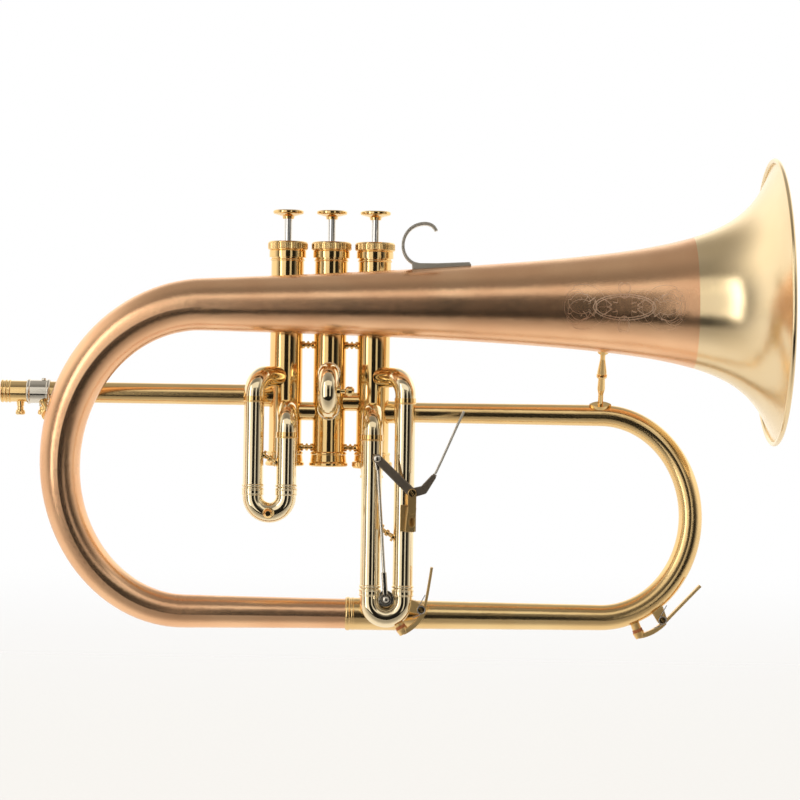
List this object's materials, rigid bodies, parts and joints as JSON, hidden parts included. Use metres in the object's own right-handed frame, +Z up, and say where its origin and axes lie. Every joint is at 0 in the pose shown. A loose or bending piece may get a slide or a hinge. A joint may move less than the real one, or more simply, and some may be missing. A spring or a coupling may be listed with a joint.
{
  "type": "flugelhorn",
  "caption": "Flugelhorn with piston valves, a wide conical bell folded over a main bow, pull slides, a third-slide trigger, water keys and a finger hook.",
  "frame": {"origin": "on the second valve's axis, level with the leadpipe's axis, where the holding hand wraps the valves", "axes": "+X along the horn towards the bell, +Z up along the valve pistons towards the finger buttons, -Y towards the side that carries the bell and slides"},
  "size_m": [0.4367, 0.1599, 0.2706],
  "materials": {
    "rose_brass": "satin lacquered rose brass",
    "flare_brass": "satin lacquered pale brass",
    "yellow_brass": "satin lacquered yellow brass",
    "polished_brass": "polished lacquered brass",
    "slide_brass": "polished lacquered brass",
    "nickel_silver": "polished nickel silver",
    "dark_nickel": "brushed nickel silver",
    "chromed_steel": "polished",
    "spring_steel": "drawn wire",
    "felt": "pressed wool felt",
    "cork": "orange synthetic cork",
    "monel": "lapped"
  },
  "bodies": {
    "horn": {"bell_body": "rose_brass", "bell_flare": "flare_brass", "bell_rim_wire": "flare_brass", "main_bow": "yellow_brass", "tail_ferrule": "yellow_brass", "leadpipe": "yellow_brass", "leadpipe_sleeve": "nickel_silver", "leadpipe_brace": "polished_brass", "first_slide_outer": "slide_brass", "first_slide_brace": "polished_brass", "second_slide_outer": "slide_brass", "third_slide_outer": "slide_brass", "third_slide_brace": "polished_brass", "valve_casing_1": "polished_brass", "valve_casing_2": "polished_brass", "valve_casing_3": "polished_brass", "valve_guides": "monel", "cap_felts": "felt", "top_caps": "polished_brass", "bottom_caps": "polished_brass", "heavy_bottom_cap": "polished_brass", "valve_balusters": "polished_brass", "valve_knuckles": "polished_brass", "tube_ferrules": "polished_brass", "trigger_bracket": "polished_brass", "bow_key_saddle": "polished_brass", "pivot_screws": "polished_brass", "finger_hook": "nickel_silver", "bell_brace": "polished_brass", "bell_valve_braces": "polished_brass"},
    "clamp_screw": {"sleeve_clamp_screw": "polished_brass"},
    "receiver": {"mouthpiece_receiver": "polished_brass"},
    "thumb_screw": {"receiver_thumb_screw": "polished_brass"},
    "valve_1": {"piston_1": "monel", "valve_stem_1": "chromed_steel", "finger_button_1": "polished_brass", "valve_spring_1": "spring_steel"},
    "valve_2": {"piston_2": "monel", "valve_stem_2": "chromed_steel", "finger_button_2": "polished_brass", "valve_spring_2": "spring_steel"},
    "valve_3": {"piston_3": "monel", "valve_stem_3": "chromed_steel", "finger_button_3": "polished_brass", "valve_spring_3": "spring_steel"},
    "first_slide": {"first_slide_bow": "slide_brass", "first_slide_knob": "polished_brass"},
    "second_slide": {"second_slide_bow": "slide_brass", "second_slide_knob": "polished_brass"},
    "third_slide": {"third_slide_bow": "slide_brass", "slide_key_saddle": "polished_brass", "slide_key_screw": "polished_brass", "link_ball_stud": "nickel_silver"},
    "trigger": {"trigger_lever": "dark_nickel", "trigger_finger_plate": "nickel_silver"},
    "link": {"link_rod": "nickel_silver"},
    "slide_key": {"slide_key_lever": "polished_brass", "slide_key_cork": "cork"},
    "bow_key": {"bow_key_lever": "polished_brass", "bow_key_cork": "cork"}
  },
  "joints": [
    {"name": "tuning_slide", "type": "slide", "parent": "horn", "child": "receiver", "axis": [-1, 0, 0], "range_m": [0, 0.015]},
    {"name": "clamp_screw_turn", "type": "hinge", "parent": "horn", "child": "clamp_screw", "pos_m": [-0.1625, 0, -0.01], "axis": [0, 0, -1], "range_deg": [-180, 180]},
    {"name": "thumb_screw_turn", "type": "hinge", "parent": "receiver", "child": "thumb_screw", "pos_m": [-0.1756, 0, -0.01], "axis": [0, 0, -1], "range_deg": [-180, 180]},
    {"name": "valve_1_press", "type": "slide", "parent": "horn", "child": "valve_1", "axis": [0, 0, -1], "range_m": [0, 0.012], "stiffness_N_per_m": 60, "springref_m": -0.025, "deforming": ["valve_spring_1"]},
    {"name": "valve_2_press", "type": "slide", "parent": "horn", "child": "valve_2", "axis": [0, 0, -1], "range_m": [0, 0.012], "stiffness_N_per_m": 60, "springref_m": -0.025, "deforming": ["valve_spring_2"]},
    {"name": "valve_3_press", "type": "slide", "parent": "horn", "child": "valve_3", "axis": [0, 0, -1], "range_m": [0, 0.012], "stiffness_N_per_m": 60, "springref_m": -0.025, "deforming": ["valve_spring_3"]},
    {"name": "first_slide_pull", "type": "slide", "parent": "horn", "child": "first_slide", "axis": [0, 0, -1], "range_m": [0, 0.022]},
    {"name": "second_slide_pull", "type": "slide", "parent": "horn", "child": "second_slide", "axis": [0, -1, 0], "range_m": [0, 0.012]},
    {"name": "trigger_turn", "type": "hinge", "parent": "horn", "child": "trigger", "pos_m": [0.0478, -0.035, -0.0531], "axis": [0, -1, 0], "range_deg": [0, 26], "stiffness_Nm_per_rad": 0.06, "springref_deg": -34.38},
    {"name": "third_slide_pull", "type": "slide", "parent": "horn", "child": "third_slide", "axis": [0, 0, -1], "range_m": [0, 0.0096]},
    {"name": "link_turn", "type": "hinge", "parent": "trigger", "child": "link", "pos_m": [0.0282, -0.0325, -0.0343], "axis": [0, -1, 0], "range_deg": [-22, 0]},
    {"name": "slide_key_open", "type": "hinge", "parent": "third_slide", "child": "slide_key", "pos_m": [0.0539, -0.0245, -0.1185], "axis": [0, -1, 0], "range_deg": [0, 18], "stiffness_Nm_per_rad": 0.02, "springref_deg": -28.65},
    {"name": "bow_key_open", "type": "hinge", "parent": "horn", "child": "bow_key", "pos_m": [0.1904, -0.00775, -0.1236], "axis": [0, -1, 0], "range_deg": [0, 10], "stiffness_Nm_per_rad": 0.02, "springref_deg": -28.65}
  ],
  "couplings": [
    {"joint": "trigger_turn", "follows": "third_slide_pull", "rad_per_m": 47.17},
    {"joint": "link_turn", "follows": "third_slide_pull", "rad_per_m": -38.35}
  ]
}
